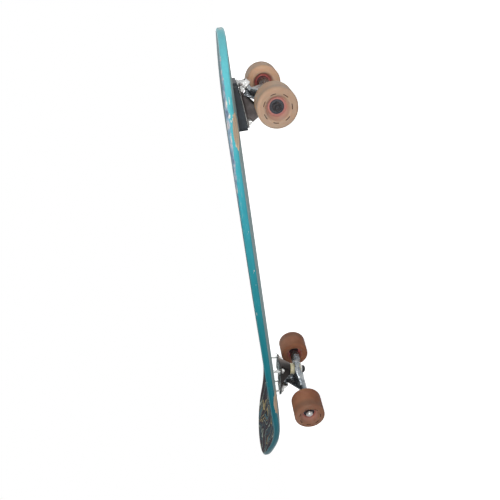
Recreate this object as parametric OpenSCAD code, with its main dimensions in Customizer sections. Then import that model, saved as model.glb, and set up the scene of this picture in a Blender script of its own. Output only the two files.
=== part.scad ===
// Cruiser skateboard: kicktail deck, two sprung trucks on wedge risers, four soft wheels.
// Millimetres, +X toward the nose, +Z up, wheels standing on z = 0, x = 0 at the deck's mid length.

/* [Deck] */
// Distance between the two axles
wheelbase = 618; // [560:2:660]
// Deck ahead of the front axle
nose_overhang = 107; // [85:1:130]
// Deck behind the rear axle
tail_overhang = 185; // [170:1:230]
// Widest width of the deck
deck_w = 240; // [228:1:252]
// Thickness of the maple laminate
deck_t = 12.6; // [10:0.2:14]
// Height of the rails above the flat middle
concave = 7.4; // [3:0.2:12]
// Width of the flat band that the trucks bolt to
flat_w = 64; // [60:1:90]
// Rounding of the rail's edges
rail_round = 4.5; // [2:0.5:4.5]
// Length over which the nose narrows
nose_taper = 186; // [150:2:230]
// Length over which the tail narrows
tail_taper = 600; // [500:5:640]
// Fullness of the nose, higher is blunter
nose_fullness = 2.4; // [1.5:0.1:3]
// Fullness of the tail, higher is blunter
tail_fullness = 2.4; // [1.5:0.1:3]
// Steepest slope of the kicktail, in degrees
kick_angle = 21.5; // [10:0.5:24]
// Distance from the rear axle back to where the kick starts
kick_back = 23; // [20:1:50]
// Radius of the kick's upward bend
kick_bend_r = 214; // [140:2:260]
// Radius of the slow curve that eases the tail off again
tail_ease_r = 625; // [450:25:3000]
// Thickness of the printed grip sheet
grip_t = 0.6; // [0.5:0.1:1.5]

/* [Wheel wells] */
// Depth that each well bites into the rail
well_depth = 4.5; // [2:0.5:8]
// Length of a well along the rail
well_len = 60; // [40:2:90]
// How far a well reaches in under the deck
well_reach = 36; // [20:1:50]
// Distance from the front axle toward the board's middle to a front well's centre
front_well_in = 26; // [0:1:40]
// Distance from the rear axle toward the board's middle to a rear well's centre
rear_well_in = 38; // [0:1:44]

/* [Risers and base plates] */
// Length of a riser and its base plate along the board
plate_l = 77; // [74:1:90]
// Width of a base plate
plate_w = 55; // [52:1:58]
// Thickness of a base plate's flange
plate_t = 3.6; // [3:0.2:6]
// How far a riser stands out past its base plate on each side
riser_margin = 1; // [0:0.5:2]
// Thickness of a riser at the middle of its bolt pattern
riser_mid = 11; // [8:0.2:16]
// Wedge of the riser, thick end toward the board's middle, in degrees
wedge_angle = 6.3; // [0:0.1:8]
// Corner radius of base plates and risers
plate_corner = 7; // [3:0.5:9]
// Bolt spacing along the board
bolt_pitch_x = 53.98; // [52:0.01:56]
// Bolt spacing across the board
bolt_pitch_y = 41.28; // [40:0.01:42]
// Shank diameter of the mounting bolts
bolt_d = 4.8; // [4:0.1:5]
// Head diameter of the mounting bolts
bolt_head_d = 9.4; // [8.5:0.1:10]

/* [Truck geometry] */
// Depth of the axle's centre below the base plate's face
axle_drop = 47.5; // [45:0.5:54]
// Distance of the axle's centre outward from the bolt pattern's middle
axle_out = 8.3; // [6:0.1:11]
// Distance of the bushing seat inward from the bolt pattern's middle
kingpin_in = 14; // [12:0.5:16]
// Depth of the bushing seat below the base plate's face
seat_drop = 24.5; // [23:0.5:26]
// Lean of the kingpin from square to the plate, in degrees
kingpin_lean = 6; // [3:0.5:9]
// Distance of the pivot outward from the bolt pattern's middle
pivot_out = 28.5; // [27:0.5:30]
// Depth of the pivot's centre below the base plate's face
pivot_drop = 12.5; // [11.5:0.5:14]

/* [Kingpin and bushings] */
// Diameter of the kingpin
kingpin_d = 9.5; // [8:0.1:10]
// Diameter of the bushings where they seat
bushing_d = 24; // [20:0.5:24.5]
// Height of the board side bushing
board_bushing_h = 10; // [9:0.5:13]
// Height of the road side bushing
road_bushing_h = 9; // [8:0.5:12]
// Thickness of the hanger's ring
ring_t = 9; // [7.5:0.5:10]
// Depth of the cup on each face of the ring
ring_cup = 2; // [1:0.25:2.5]
// Bore of the ring, wide enough for the ring to tilt round the kingpin
ring_bore_d = 15; // [14.5:0.5:17]
// Thickness of the cupped washer
washer_t = 1.5; // [1:0.1:2]

/* [Hanger and axle] */
// Distance between wheel centres on one axle
track = 192; // [180:1:204]
// Diameter of the steel axle
axle_d = 7.94; // [7.5:0.02:8]
// Diameter of the hanger at its ends
hanger_end_d = 16; // [14:0.5:18]
// Diameter of the hanger beside the ring
hanger_mid_d = 17; // [15:0.5:17.5]
// Half length of the hanger's thick middle
hanger_wing = 38; // [30:1:46]
// Half length of the web that joins the arm to the wings
hanger_web = 40; // [28:1:42]
// Outside diameter of the hanger's ring
ring_d = 36; // [33:0.5:38]
// Diameter of the pivot nose
pivot_d = 11; // [9:0.5:12]
// Wall of the pivot cup
cup_wall = 2; // [1.5:0.25:2.5]

/* [Wheels] */
// Diameter of a wheel
wheel_d = 61; // [58:0.5:66]
// Width of a wheel
wheel_w = 52.3; // [46:0.1:56]
// Radius of a wheel's rounded lips
lip_r = 5; // [3:0.5:8]
// Radius at which the flat of the face ends and the dish begins
dish_r = 21; // [18:0.5:23]
// Half length of the core
core_half = 13.5; // [13:0.25:15]
// Radius of the core's ends
core_end_r = 13.4; // [12.5:0.1:14]
// Radius of the core's middle
core_mid_r = 15.5; // [14:0.1:17]

/* [Bearings] */
// Bore of a bearing
bearing_bore_d = 8; // [8:0.1:8.4]
// Outside diameter of a bearing
bearing_od = 22; // [21:0.1:22]
// Width of a bearing
bearing_w = 7; // [6.5:0.1:8]
// Diameter of a ball
ball_d = 3.97; // [3.5:0.01:4]
// Number of balls
ball_count = 7; // [5:1:7]
// Length of the spacer between the bearings
spacer_l = 10; // [8:0.5:12]
// Diameter of a speed washer
speed_washer_d = 11; // [10:0.2:12]
// Thickness of a speed washer
speed_washer_t = 1; // [0.6:0.1:1.5]

/* [Fits] */
// Radial gap of a shaft that turns in its bore
running_gap = 0.05; // [0.02:0.01:0.1]
// Radial gap of parts pressed or screwed together
seat_gap = 0.02; // [0.01:0.01:0.04]
// Radial gap of a bolt in its clearance hole
bolt_gap = 0.3; // [0.2:0.05:0.5]

/* [Hidden] */
$fn = 64;

// Colours
turquoise = "#3fb3bd";
print_slate = "#4b525c";
riser_black = "#22262b";
cast_grey = "#8d8f92";
chrome = "#c9ccd1";
steel = "#a9adb3";
dark_steel = "#3a3c40";
cream = "#e3cf93";
amber = "#b98a63";
core_red = "#b5413b";
shield_black = "#1d1d20";

// Board layout
deck_len = nose_overhang + wheelbase + tail_overhang;
nose_x = deck_len / 2;
tail_x = -deck_len / 2;
front_axle_x = nose_x - nose_overhang;
rear_axle_x = tail_x + tail_overhang;
wheel_r = wheel_d / 2;

// Truck layout: the plate's face leans outward by the wedge angle
pattern_back = axle_out * cos(wedge_angle) + axle_drop * sin(wedge_angle);
plate_z = wheel_r - axle_out * sin(wedge_angle) + axle_drop * cos(wedge_angle);
under_z = plate_z + riser_mid;
deck_top_z = under_z + deck_t;
grip_top_z = deck_top_z + grip_t;
riser_l = plate_l + 2 * riser_margin;
riser_w = plate_w + 2 * riser_margin;

// Stack on the kingpin, measured down from the bushing seat
ring_top_s = board_bushing_h - ring_cup;
ring_mid_s = ring_top_s + ring_t / 2;
road_bushing_s = ring_top_s + ring_t - ring_cup;
washer_s = road_bushing_s + road_bushing_h;
kingpin_nut_s = washer_s + washer_t;
kingpin_nut_h = 5.5;
kingpin_nut_collar = 1.5;
kingpin_nut_af = 14.3;
kingpin_tip = 1.5;
kingpin_head_h = 6;
kingpin_head_sink = 1.5;
kingpin_head_s = seat_drop / cos(kingpin_lean) - kingpin_head_sink;
seat_r = 12.5;

// Steering axis, from the middle of the ring up to the pivot, in the truck's own frame
ring_x = -kingpin_in + ring_mid_s * sin(kingpin_lean);
ring_z = -seat_drop - ring_mid_s * cos(kingpin_lean);
steer_rise = atan2(-pivot_drop - ring_z, pivot_out - ring_x);
steer_len = norm([pivot_out - ring_x, -pivot_drop - ring_z]);

// Length that carries a cutter clear of whatever it cuts
beyond = 2 * seat_drop;

// Pivot cup and its housing
nose_r = pivot_d / 2;
cup_r = nose_r + running_gap + cup_wall;
cup_floor = nose_r + running_gap;
cup_end = cup_floor + cup_wall * 0.75;
cup_mouth = 4;
housing_r = cup_r + 2.3;
housing_mouth = cup_mouth - 1;

// Axle stack, measured out from the board's centreline
bearing_span = 2 * bearing_w + spacer_l;
hanger_half = track / 2 - bearing_span / 2 - speed_washer_t;
outer_washer_y = track / 2 + bearing_span / 2;
axle_nut_y = outer_washer_y + speed_washer_t;
axle_nut_h = 5;
axle_nut_collar = 1.5;
axle_nut_af = 12.7;
axle_half = axle_nut_y + axle_nut_h + axle_nut_collar + 1.5;

// Bearing
ball_r = ball_d / 2;
groove_r = ball_r + running_gap;
pitch_r = (bearing_bore_d + bearing_od) / 4 + 0.15;
inner_ring_r = pitch_r - 1.45;
outer_ring_r = pitch_r + 1.45;
shield_t = 0.45;
shield_inset = 0.15;
shield_gap = 0.15;

// Mounting bolts
bolt_head_h = 2.6;
bolt_nut_af = 9.5;
bolt_nut_h = 4.5;
bolt_tail = 1.5;
bolt_xy = [for (x = [-1, 1], y = [-1, 1]) [x * bolt_pitch_x / 2, y * bolt_pitch_y / 2]];

// Deck outline: half width at a place along the board
function clamp01(v) = max(0, min(1, v));
function nose_ease(x) = pow(1 - pow(clamp01((x - nose_x + nose_taper) / nose_taper), 2.2), 1 / nose_fullness);
function tail_ease(x) = pow(1 - pow(clamp01((tail_x + tail_taper - x) / tail_taper), 5), 1 / tail_fullness);
function half_width(x) = deck_w / 2 * nose_ease(x) * tail_ease(x);

// Lift of the kick: an upward bend, then a ramp that slowly eases off
kick_x = rear_axle_x - kick_back;
kick_run = kick_bend_r * sin(kick_angle);
function eased(d) = d * tan(kick_angle) - d * d / (2 * tail_ease_r);
function ramp(d) = kick_bend_r * (1 - cos(kick_angle)) + eased(d - kick_run);
function bend(d) = kick_bend_r - sqrt(kick_bend_r * kick_bend_r - d * d);
function kick(x) = x > kick_x ? 0 : kick_x - x < kick_run ? bend(kick_x - x) : ramp(kick_x - x);

// Rise of the rails out of the flat middle
function rise(y) = concave * pow(max(0, abs(y) - flat_w / 2) / (deck_w / 2 - flat_w / 2), 2);

// Stations run from the nose to the tail, closer together at the tips
stations = 48;
tip_turn = 2;
function turn(i) = tip_turn + (180 - 2 * tip_turn) * i / stations;
function station_x(i) = nose_x * cos(turn(i)) / cos(tip_turn);
function station_w(i) = half_width(nose_x * cos(turn(i)));
function slope(i) = (station_w(min(i + 1, stations)) - station_w(max(i - 1, 0)))
    / (station_x(min(i + 1, stations)) - station_x(max(i - 1, 0)));
function outward(i) = i == 0 ? [1, 0] : i == stations ? [-1, 0] : [-slope(i), 1] / norm([slope(i), 1]);

// Across a station: where the rows of points lie on the flat, the concave and the rail
across = [-1, -0.62, -0.3, 0, 0.3, 0.62, 1];
edge_turns = [-50, -15, 15, 50];
function band(i) = min(flat_w / 2, 0.55 * inner_w(i));
function inner_w(i) = station_w(i) - outward(i)[1] * rail_round;
function inner_x(i) = station_x(i) - outward(i)[0] * rail_round;
function row_y(i, n) = abs(n) <= 0.3 ? n / 0.3 * band(i)
    : sign(n) * (band(i) + (abs(n) - 0.3) / 0.7 * (inner_w(i) - band(i)));
function face_row(i, z) = [for (n = across) [inner_x(i), row_y(i, n), z + kick(inner_x(i)) + rise(row_y(i, n))]];
function edge_point(i, side, a) = let (
        inset = rail_round * (1 - cos(a)),
        x = station_x(i) - outward(i)[0] * inset,
        y = side * (station_w(i) - outward(i)[1] * inset),
        z = a < 0 ? under_z + rail_round : deck_top_z - rail_round
    ) [x, y, z + rail_round * sin(a) + kick(x) + rise(y)];
function reversed(list) = [for (k = [len(list) - 1 : -1 : 0]) list[k]];
function deck_loop(i) = concat(
    face_row(i, under_z),
    [for (a = edge_turns) edge_point(i, 1, a)],
    reversed(face_row(i, deck_top_z)),
    [for (a = reversed(edge_turns)) edge_point(i, -1, a)]
);
function sheet_loop(i) = concat(face_row(i, deck_top_z), reversed(face_row(i, grip_top_z)));

// Skin over loops of equal length, closed at both ends; rising picks which way its squares are halved
function skin_sides(loops, m, rising) = [
    for (i = [0 : loops - 2], k = [0 : m - 1]) let (a = i * m + k, b = i * m + (k + 1) % m)
        each rising ? [[a, a + m, b + m], [a, b + m, b]] : [[a, a + m, b], [b, a + m, b + m]]
];
function end_fan(first, m, tip, flip) = [
    for (k = [0 : m - 1]) let (a = first + k, b = first + (k + 1) % m) flip ? [tip, b, a] : [tip, a, b]
];
function sum(list) = list * [for (v = list) 1];
function mean(loop, c) = sum([for (p = loop) p[c]]) / len(loop);
function tip(loop, way) = [way * max([for (p = loop) way * p[0]]), mean(loop, 1), mean(loop, 2)];

// Joins loops of points into one closed solid
module loft(loops, rising = false) {
    n = len(loops);
    m = len(loops[0]);
    polyhedron(
        points = concat([for (l = loops) each l], [tip(loops[0], 1), tip(loops[n - 1], -1)]),
        faces = concat(
            skin_sides(n, m, rising),
            end_fan(0, m, n * m, false),
            end_fan((n - 1) * m, m, n * m + 1, true)
        ),
        convexity = 4
    );
}

// Places a truck's parts: origin on the base plate's face, +x outward, +z square to the plate
module at_truck(front) {
    translate([front ? front_axle_x : rear_axle_x, 0, 0])
        rotate([0, 0, front ? 0 : 180])
            translate([-pattern_back, 0, plate_z])
                rotate([0, -wedge_angle, 0])
                    children();
}

// Origin on the bushing seat, -z down the kingpin
module at_seat() {
    translate([-kingpin_in, 0, -seat_drop])
        rotate([0, -kingpin_lean, 0])
            children();
}

// Origin at the pivot's centre, +z along the steering axis into the cup
module at_pivot() {
    translate([pivot_out, 0, -pivot_drop])
        rotate([0, 90 - steer_rise, 0])
            children();
}

// Origin at the axle's centre, +z toward the board's left
module at_axle() {
    translate([axle_out, 0, -axle_drop])
        rotate([-90, 0, 0])
            children();
}

// Origin at a wheel's centre, +z outward
module at_wheel(front, left) {
    translate([front ? front_axle_x : rear_axle_x, (left ? 1 : -1) * track / 2, wheel_r])
        rotate([left ? -90 : 90, 0, 0])
            children();
}

// Rounded rectangle centred on the origin
module rounded_plate(l, w, r) {
    square([l - 2 * r, w], center = true);
    square([l, w - 2 * r], center = true);
    for (x = [-1, 1], y = [-1, 1])
        translate([x * (l / 2 - r), y * (w / 2 - r)])
            circle(r = r);
}

// Tube from z = 0 up
module tube(outer_r, inner_r, h) {
    rotate_extrude()
        translate([inner_r, 0])
            square([outer_r - inner_r, h]);
}

// Hexagonal nut with a round locking collar, seated on z = 0
module lock_nut(af, hex_h, collar_h, bore_r) {
    difference() {
        union() {
            cylinder(d = af / cos(30), h = hex_h, $fn = 6);
            translate([0, 0, hex_h])
                cylinder(r = af * 0.44, h = collar_h);
        }
        translate([0, 0, -1])
            cylinder(r = bore_r, h = hex_h + collar_h + 2);
    }
}

// Height of a level plane above the base plate's face, at a place along the truck
function plane_above(z, x) = (z - plate_z - x * sin(wedge_angle)) / cos(wedge_angle);
function head_top(x) = plane_above(grip_top_z, x + bolt_head_d / 2);

// Room for the mounting bolts in whatever they pass through
module bolt_holes(front) {
    at_truck(front)
        for (p = bolt_xy)
            translate([p[0], p[1], -plate_t - 1])
                cylinder(d = bolt_d + 2 * bolt_gap, h = head_top(p[0]) + plate_t + 1);
}

// Countersinks for the bolt heads
module head_sinks(front) {
    at_truck(front)
        for (p = bolt_xy)
            translate([p[0], p[1], head_top(p[0])]) {
                translate([0, 0, -bolt_head_h])
                    cylinder(d1 = bolt_d + 2 * bolt_gap, d2 = bolt_head_d + 2 * bolt_gap, h = bolt_head_h);
                cylinder(d = bolt_head_d + 2 * bolt_gap, h = 6);
            }
}

// Round-bottomed cutter that rises toward the rail
module well_cutter() {
    edge = half_width(rear_axle_x + rear_well_in);
    climb = well_depth + rise(edge) - rise(edge - well_reach);
    radius = (well_len * well_len / 4 + well_depth * well_depth) / (2 * well_depth);
    for (front = [true, false], side = [0, 1])
        mirror([0, side, 0])
            translate([front ? front_axle_x - front_well_in : rear_axle_x + rear_well_in, edge, under_z + rise(edge) + well_depth])
                rotate([atan2(climb, well_reach), 0, 0])
                    translate([0, 0, -radius])
                        rotate([90, 0, 0])
                            cylinder(r = radius, h = 2 * well_reach + 10, center = true);
}

// Deck: kicked and concave laminate with rounded rails and four wheel wells
module deck() {
    color(turquoise)
        difference() {
            loft([for (i = [0 : stations]) deck_loop(i)]);
            bolt_holes(true);
            bolt_holes(false);
            head_sinks(true);
            head_sinks(false);
            well_cutter();
        }
}

// Printed grip sheet on the deck's top, cut round the bolt heads
module printed_grip_sheet() {
    color(print_slate)
        difference() {
            loft([for (i = [0 : stations]) sheet_loop(i)], rising = true);
            head_sinks(true);
            head_sinks(false);
        }
}

// Wedge riser between the deck and a base plate
module riser(front) {
    color(riser_black)
        difference() {
            translate([front ? front_axle_x - pattern_back : rear_axle_x + pattern_back, 0, under_z - 2 * riser_mid])
                linear_extrude(height = 2 * riser_mid)
                    rounded_plate(riser_l, riser_w, plate_corner);
            at_truck(front)
                translate([0, 0, -beyond])
                    cube([2 * riser_l, 2 * riser_w, 2 * beyond], center = true);
            bolt_holes(front);
        }
}

// Base plate casting: flange, bushing boss and pivot housing
module base_plate(front) {
    boss_l = plate_l / 2 - 4;
    at_truck(front)
        color(cast_grey)
            difference() {
                union() {
                    translate([0, 0, -plate_t])
                        linear_extrude(height = plate_t)
                            rounded_plate(plate_l, plate_w, plate_corner);
                    hull() {
                        at_seat()
                            cylinder(r = seat_r, h = 1, $fn = 32);
                        translate([-boss_l, -14, -plate_t])
                            cube([boss_l + 18, 28, 1]);
                        translate([-boss_l + 6, -11, -plate_t - 9])
                            cube([boss_l + 1, 22, 1]);
                    }
                    hull() {
                        at_pivot()
                            translate([0, 0, -housing_mouth])
                                cylinder(r = housing_r, h = cup_end + housing_mouth + 0.5, $fn = 32);
                        translate([pivot_out - 9, -12, -plate_t])
                            cube([plate_l / 2 - pivot_out + 9, 24, 1]);
                    }
                }
                at_pivot()
                    translate([0, 0, -beyond])
                        cylinder(r = cup_r + seat_gap, h = beyond + cup_end + seat_gap);
                at_pivot()
                    translate([0, 0, -beyond - housing_mouth])
                        cylinder(r = housing_r + 4, h = beyond);
                at_seat()
                    cylinder(d = kingpin_d + 2 * seat_gap, h = 2 * beyond, center = true);
                at_seat()
                    translate([0, 0, kingpin_head_s - kingpin_head_h])
                        cylinder(d = kingpin_nut_af / cos(30) + 2 * seat_gap, h = beyond, $fn = 6);
                translate([0, 0, beyond])
                    cube([2 * plate_l, 2 * plate_w, 2 * beyond], center = true);
                for (p = bolt_xy)
                    translate([p[0], p[1], -plate_t - 1])
                        cylinder(d = bolt_d + 2 * bolt_gap, h = plate_t + 2);
                for (side = [-1, 1])
                    translate([0, side * (plate_w / 2 - 5.5), -plate_t - 1])
                        linear_extrude(height = plate_t + 2)
                            square([22, 3.5], center = true);
            }
}

// Pivot cup: urethane liner that the hanger's nose turns in
module pivot_cup(front) {
    at_truck(front)
        at_pivot()
            color(cream)
                difference() {
                    translate([0, 0, -cup_mouth])
                        cylinder(r = cup_r, h = cup_mouth + cup_end);
                    translate([0, 0, -cup_mouth - 1])
                        cylinder(r = nose_r + running_gap, h = cup_mouth + 1);
                    sphere(r = nose_r + running_gap);
                }
}

// Kingpin: hexagon head sunk in the plate, shank through the whole stack
module kingpin(front) {
    tip_s = kingpin_nut_s + kingpin_nut_h + kingpin_nut_collar + kingpin_tip;
    at_truck(front)
        at_seat()
            color(steel) {
                translate([0, 0, kingpin_head_s - kingpin_head_h])
                    cylinder(d = kingpin_nut_af / cos(30), h = kingpin_head_h, $fn = 6);
                translate([0, 0, -tip_s + 1])
                    cylinder(d = kingpin_d, h = tip_s - 1 + kingpin_head_s - kingpin_head_h);
                translate([0, 0, -tip_s])
                    cylinder(d1 = kingpin_d - 2, d2 = kingpin_d, h = 1);
            }
}

// Bushing of revolution round the kingpin, from its wide end on z = 0 down
module bushing(h, wide_r, narrow_r) {
    bore = kingpin_d / 2 + running_gap;
    chamfer = 0.8;
    rotate_extrude()
        polygon([
            [bore, 0], [wide_r - chamfer, 0], [wide_r, -chamfer],
            [wide_r, -h * 0.35], [narrow_r, -h + chamfer], [narrow_r - chamfer, -h], [bore, -h]
        ]);
}

// Board side bushing: a barrel between the plate's seat and the ring's upper cup
module board_bushing(front) {
    at_truck(front)
        at_seat()
            color(cream)
                bushing(board_bushing_h, bushing_d / 2, bushing_d / 2 - 0.4);
}

// Road side bushing: a cone between the ring's lower cup and the washer
module road_bushing(front) {
    at_truck(front)
        at_seat()
            translate([0, 0, -road_bushing_s])
                color(cream)
                    bushing(road_bushing_h, bushing_d / 2 - 0.5, bushing_d / 2 - 2.5);
}

// Cupped washer under the kingpin nut
module cup_washer(front) {
    r = bushing_d / 2 - 1.3;
    at_truck(front)
        at_seat()
            translate([0, 0, -washer_s])
                color(steel)
                    rotate_extrude()
                        polygon([
                            [kingpin_d / 2 + seat_gap, 0], [r - 0.9, 0], [r - 0.5, 1.6],
                            [r + 0.4, 1.6], [r, -washer_t], [kingpin_d / 2 + seat_gap, -washer_t]
                        ]);
}

// Lock nut on the kingpin's end
module kingpin_nut(front) {
    at_truck(front)
        at_seat()
            translate([0, 0, -kingpin_nut_s])
                rotate([180, 0, 0])
                    color(dark_steel)
                        lock_nut(kingpin_nut_af, kingpin_nut_h, kingpin_nut_collar, kingpin_d / 2 + seat_gap);
}

// Four countersunk mounting bolts with socket heads
module deck_bolts(front) {
    socket = 1.8;
    at_truck(front)
        color(steel)
            for (p = bolt_xy)
                translate([p[0], p[1], 0])
                    difference() {
                        union() {
                            translate([0, 0, head_top(p[0]) - bolt_head_h])
                                cylinder(d1 = bolt_d, d2 = bolt_head_d, h = bolt_head_h);
                            translate([0, 0, -plate_t - bolt_nut_h - bolt_tail])
                                cylinder(d = bolt_d, h = head_top(p[0]) - bolt_head_h + plate_t + bolt_nut_h + bolt_tail);
                        }
                        translate([0, 0, head_top(p[0]) - socket])
                            cylinder(d = 3.4, h = socket + 1, $fn = 6);
                    }
}

// Four lock nuts under the base plate's flange
module deck_nuts(front) {
    at_truck(front)
        color(steel)
            for (p = bolt_xy)
                translate([p[0], p[1], -plate_t])
                    rotate([180, 0, 0])
                        lock_nut(bolt_nut_af, bolt_nut_h - 1.2, 1.2, bolt_d / 2 + seat_gap);
}

// Hanger casting: ring, wings along the axle, and the arm to the pivot nose
module hanger(front) {
    mid_r = hanger_mid_d / 2;
    end_r = hanger_end_d / 2;
    arm_r = nose_r + 0.1;
    pocket_r = bushing_d / 2 + 1.5;
    sway = 3.5;
    at_truck(front)
        color(chrome)
            difference() {
                union() {
                    hull() {
                        at_seat()
                            translate([0, 0, -ring_mid_s])
                                cylinder(d = ring_d, h = ring_t - 1, center = true, $fn = 48);
                        at_axle()
                            cylinder(r = mid_r, h = 2 * hanger_wing, center = true, $fn = 48);
                    }
                    at_seat()
                        translate([0, 0, -ring_mid_s])
                            cylinder(d = ring_d - 3, h = ring_t, center = true);
                    for (side = [0, 1])
                        mirror([0, side, 0])
                            at_axle() {
                                translate([0, 0, hanger_wing - 1])
                                    cylinder(r1 = mid_r, r2 = end_r, h = hanger_half - hanger_wing - 5);
                                translate([0, 0, hanger_half - 10])
                                    cylinder(r = end_r - 0.5, h = 10);
                            }
                    hull() {
                        at_axle()
                            cylinder(r = mid_r - 1, h = 2 * hanger_web, center = true, $fn = 32);
                        at_pivot()
                            translate([0, 0, -14])
                                sphere(r = arm_r - 0.3, $fn = 24);
                    }
                    at_pivot() {
                        translate([0, 0, -steer_len + 17])
                            cylinder(r = arm_r, h = steer_len - 17 - 8);
                        translate([0, 0, -9])
                            cylinder(r = nose_r, h = 9);
                        sphere(r = nose_r);
                    }
                }
                at_seat()
                    translate([0, 0, -ring_mid_s])
                        cylinder(d = ring_bore_d, h = beyond, center = true);
                at_seat()
                    translate([0, 0, -ring_top_s - ring_cup])
                        cylinder(d = bushing_d + 0.6, h = ring_top_s + ring_cup);
                at_seat()
                    for (side = [-1, 0, 1])
                        translate([0, side * sway, -road_bushing_s - beyond - (side == 0 ? 0 : ring_cup)])
                            cylinder(r = side == 0 ? pocket_r : pocket_r - 0.5, h = beyond);
                at_axle()
                    cylinder(d = axle_d + 2 * seat_gap, h = 2 * hanger_half + 2, center = true);
            }
}

// Steel axle through the hanger, chamfered at both threaded ends
module axle(front) {
    at_truck(front)
        at_axle()
            color(steel) {
                cylinder(d = axle_d, h = 2 * axle_half - 2, center = true);
                for (side = [0, 1])
                    mirror([0, 0, side])
                        translate([0, 0, axle_half - 1])
                            cylinder(d1 = axle_d, d2 = axle_d - 2, h = 1);
            }
}

// Puts a part at the same place on both ends of an axle
module both_ends(front) {
    for (left = [true, false])
        at_wheel(front, left)
            children();
}

// Axle nuts outside the wheels
module axle_nuts(front) {
    color(steel)
        both_ends(front)
            translate([0, 0, axle_nut_y - track / 2])
                lock_nut(axle_nut_af, axle_nut_h, axle_nut_collar, axle_d / 2 + seat_gap);
}

// Speed washers on both sides of each pair of bearings
module speed_washers(front) {
    color(steel)
        both_ends(front)
            for (z = [-bearing_span / 2 - speed_washer_t, bearing_span / 2])
                translate([0, 0, z])
                    tube(speed_washer_d / 2, axle_d / 2 + seat_gap, speed_washer_t);
}

// Places a bearing's parts on both sides of the spacer
module at_bearings() {
    for (side = [0, 1])
        mirror([0, 0, side])
            translate([0, 0, spacer_l / 2 + bearing_w / 2])
                children();
}

// Inner rings, clamped on the axle, with their ball groove
module inner_rings(front) {
    color(steel)
        both_ends(front)
            at_bearings()
                rotate_extrude()
                    difference() {
                        translate([bearing_bore_d / 2, -bearing_w / 2])
                            square([inner_ring_r - bearing_bore_d / 2, bearing_w]);
                        translate([pitch_r, 0])
                            circle(r = groove_r);
                    }
}

// Spacers between the inner rings
module spacers(front) {
    color(steel)
        both_ends(front)
            translate([0, 0, -spacer_l / 2])
                tube(bearing_bore_d / 2 + 1.2, bearing_bore_d / 2, spacer_l);
}

// Cast urethane tyre with rounded lips and dished faces
module tyre(front, left) {
    half = wheel_w / 2;
    at_wheel(front, left)
        color(amber)
            rotate_extrude($fn = 96)
                difference() {
                    union() {
                        translate([0, -half])
                            square([wheel_r - lip_r, wheel_w]);
                        translate([0, -half + lip_r])
                            square([wheel_r, wheel_w - 2 * lip_r]);
                        for (side = [-1, 1])
                            translate([wheel_r - lip_r, side * (half - lip_r)])
                                circle(r = lip_r);
                    }
                    core_outline(seat_gap);
                    for (side = [-1, 1])
                        polygon([
                            [-1, side * core_half], [core_end_r + seat_gap, side * core_half],
                            [dish_r - 2.5, side * (half - 1.4)], [dish_r, side * half],
                            [dish_r, side * (half + 1)], [-1, side * (half + 1)]
                        ]);
                }
}

// Half section of the core's outside, grown by a gap
module core_outline(gap) {
    polygon([
        [-1, -core_half], [core_end_r + gap, -core_half], [core_mid_r + gap, -core_half + 5],
        [core_mid_r + gap, core_half - 5], [core_end_r + gap, core_half], [-1, core_half]
    ]);
}

// Wheel core: seats both bearings against its inner shoulder
module core(front, left) {
    seat = bearing_od / 2 + seat_gap;
    at_wheel(front, left)
        color(core_red)
            rotate_extrude($fn = 96)
                difference() {
                    core_outline(0);
                    translate([-2, -core_half - 1])
                        square([2 + outer_ring_r, 2 * core_half + 2]);
                    for (side = [-1, 1])
                        translate([-2, side > 0 ? spacer_l / 2 : -core_half - 1])
                            square([2 + seat, core_half + 1 - spacer_l / 2]);
                }
}

// Outer rings, pressed into the core
module outer_rings(front, left) {
    color(steel)
        at_wheel(front, left)
            at_bearings()
                rotate_extrude()
                    difference() {
                        translate([outer_ring_r, -bearing_w / 2])
                            square([bearing_od / 2 - outer_ring_r, bearing_w]);
                        translate([pitch_r, 0])
                            circle(r = groove_r);
                    }
}

// Balls in both bearings of a wheel
module balls(front, left) {
    color(chrome)
        at_wheel(front, left)
            at_bearings()
                for (k = [0 : ball_count - 1])
                    rotate([0, 0, k * 360 / ball_count])
                        translate([pitch_r, 0, 0])
                            sphere(r = ball_r);
}

// Crown cages that keep the balls apart, open toward the outer side
module cages(front, left) {
    color(dark_steel)
        at_wheel(front, left)
            at_bearings()
                difference() {
                    translate([0, 0, -ball_r - 0.6])
                        tube(pitch_r + 0.65, pitch_r - 0.65, ball_r + 1.4);
                    for (k = [0 : ball_count - 1])
                        rotate([0, 0, k * 360 / ball_count])
                            translate([pitch_r, 0, 0])
                                sphere(r = groove_r);
                }
}

// Shields that close both faces of each bearing
module shields(front, left) {
    color(shield_black)
        at_wheel(front, left)
            at_bearings()
                for (z = [-bearing_w / 2 + shield_inset, bearing_w / 2 - shield_inset - shield_t])
                    translate([0, 0, z])
                        tube(outer_ring_r - seat_gap, inner_ring_r + shield_gap, shield_t);
}

deck();
printed_grip_sheet();
riser(true);  // front_riser
riser(false);  // rear_riser
base_plate(true);  // front_base_plate
base_plate(false);  // rear_base_plate
pivot_cup(true);  // front_pivot_cup
pivot_cup(false);  // rear_pivot_cup
kingpin(true);  // front_kingpin
kingpin(false);  // rear_kingpin
board_bushing(true);  // front_board_bushing
board_bushing(false);  // rear_board_bushing
road_bushing(true);  // front_road_bushing
road_bushing(false);  // rear_road_bushing
cup_washer(true);  // front_cup_washer
cup_washer(false);  // rear_cup_washer
kingpin_nut(true);  // front_kingpin_nut
kingpin_nut(false);  // rear_kingpin_nut
deck_bolts(true);  // front_deck_bolts
deck_bolts(false);  // rear_deck_bolts
deck_nuts(true);  // front_deck_nuts
deck_nuts(false);  // rear_deck_nuts
hanger(true);  // front_hanger
hanger(false);  // rear_hanger
axle(true);  // front_axle
axle(false);  // rear_axle
axle_nuts(true);  // front_axle_nuts
axle_nuts(false);  // rear_axle_nuts
speed_washers(true);  // front_speed_washers
speed_washers(false);  // rear_speed_washers
inner_rings(true);  // front_inner_rings
inner_rings(false);  // rear_inner_rings
spacers(true);  // front_spacers
spacers(false);  // rear_spacers
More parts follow.
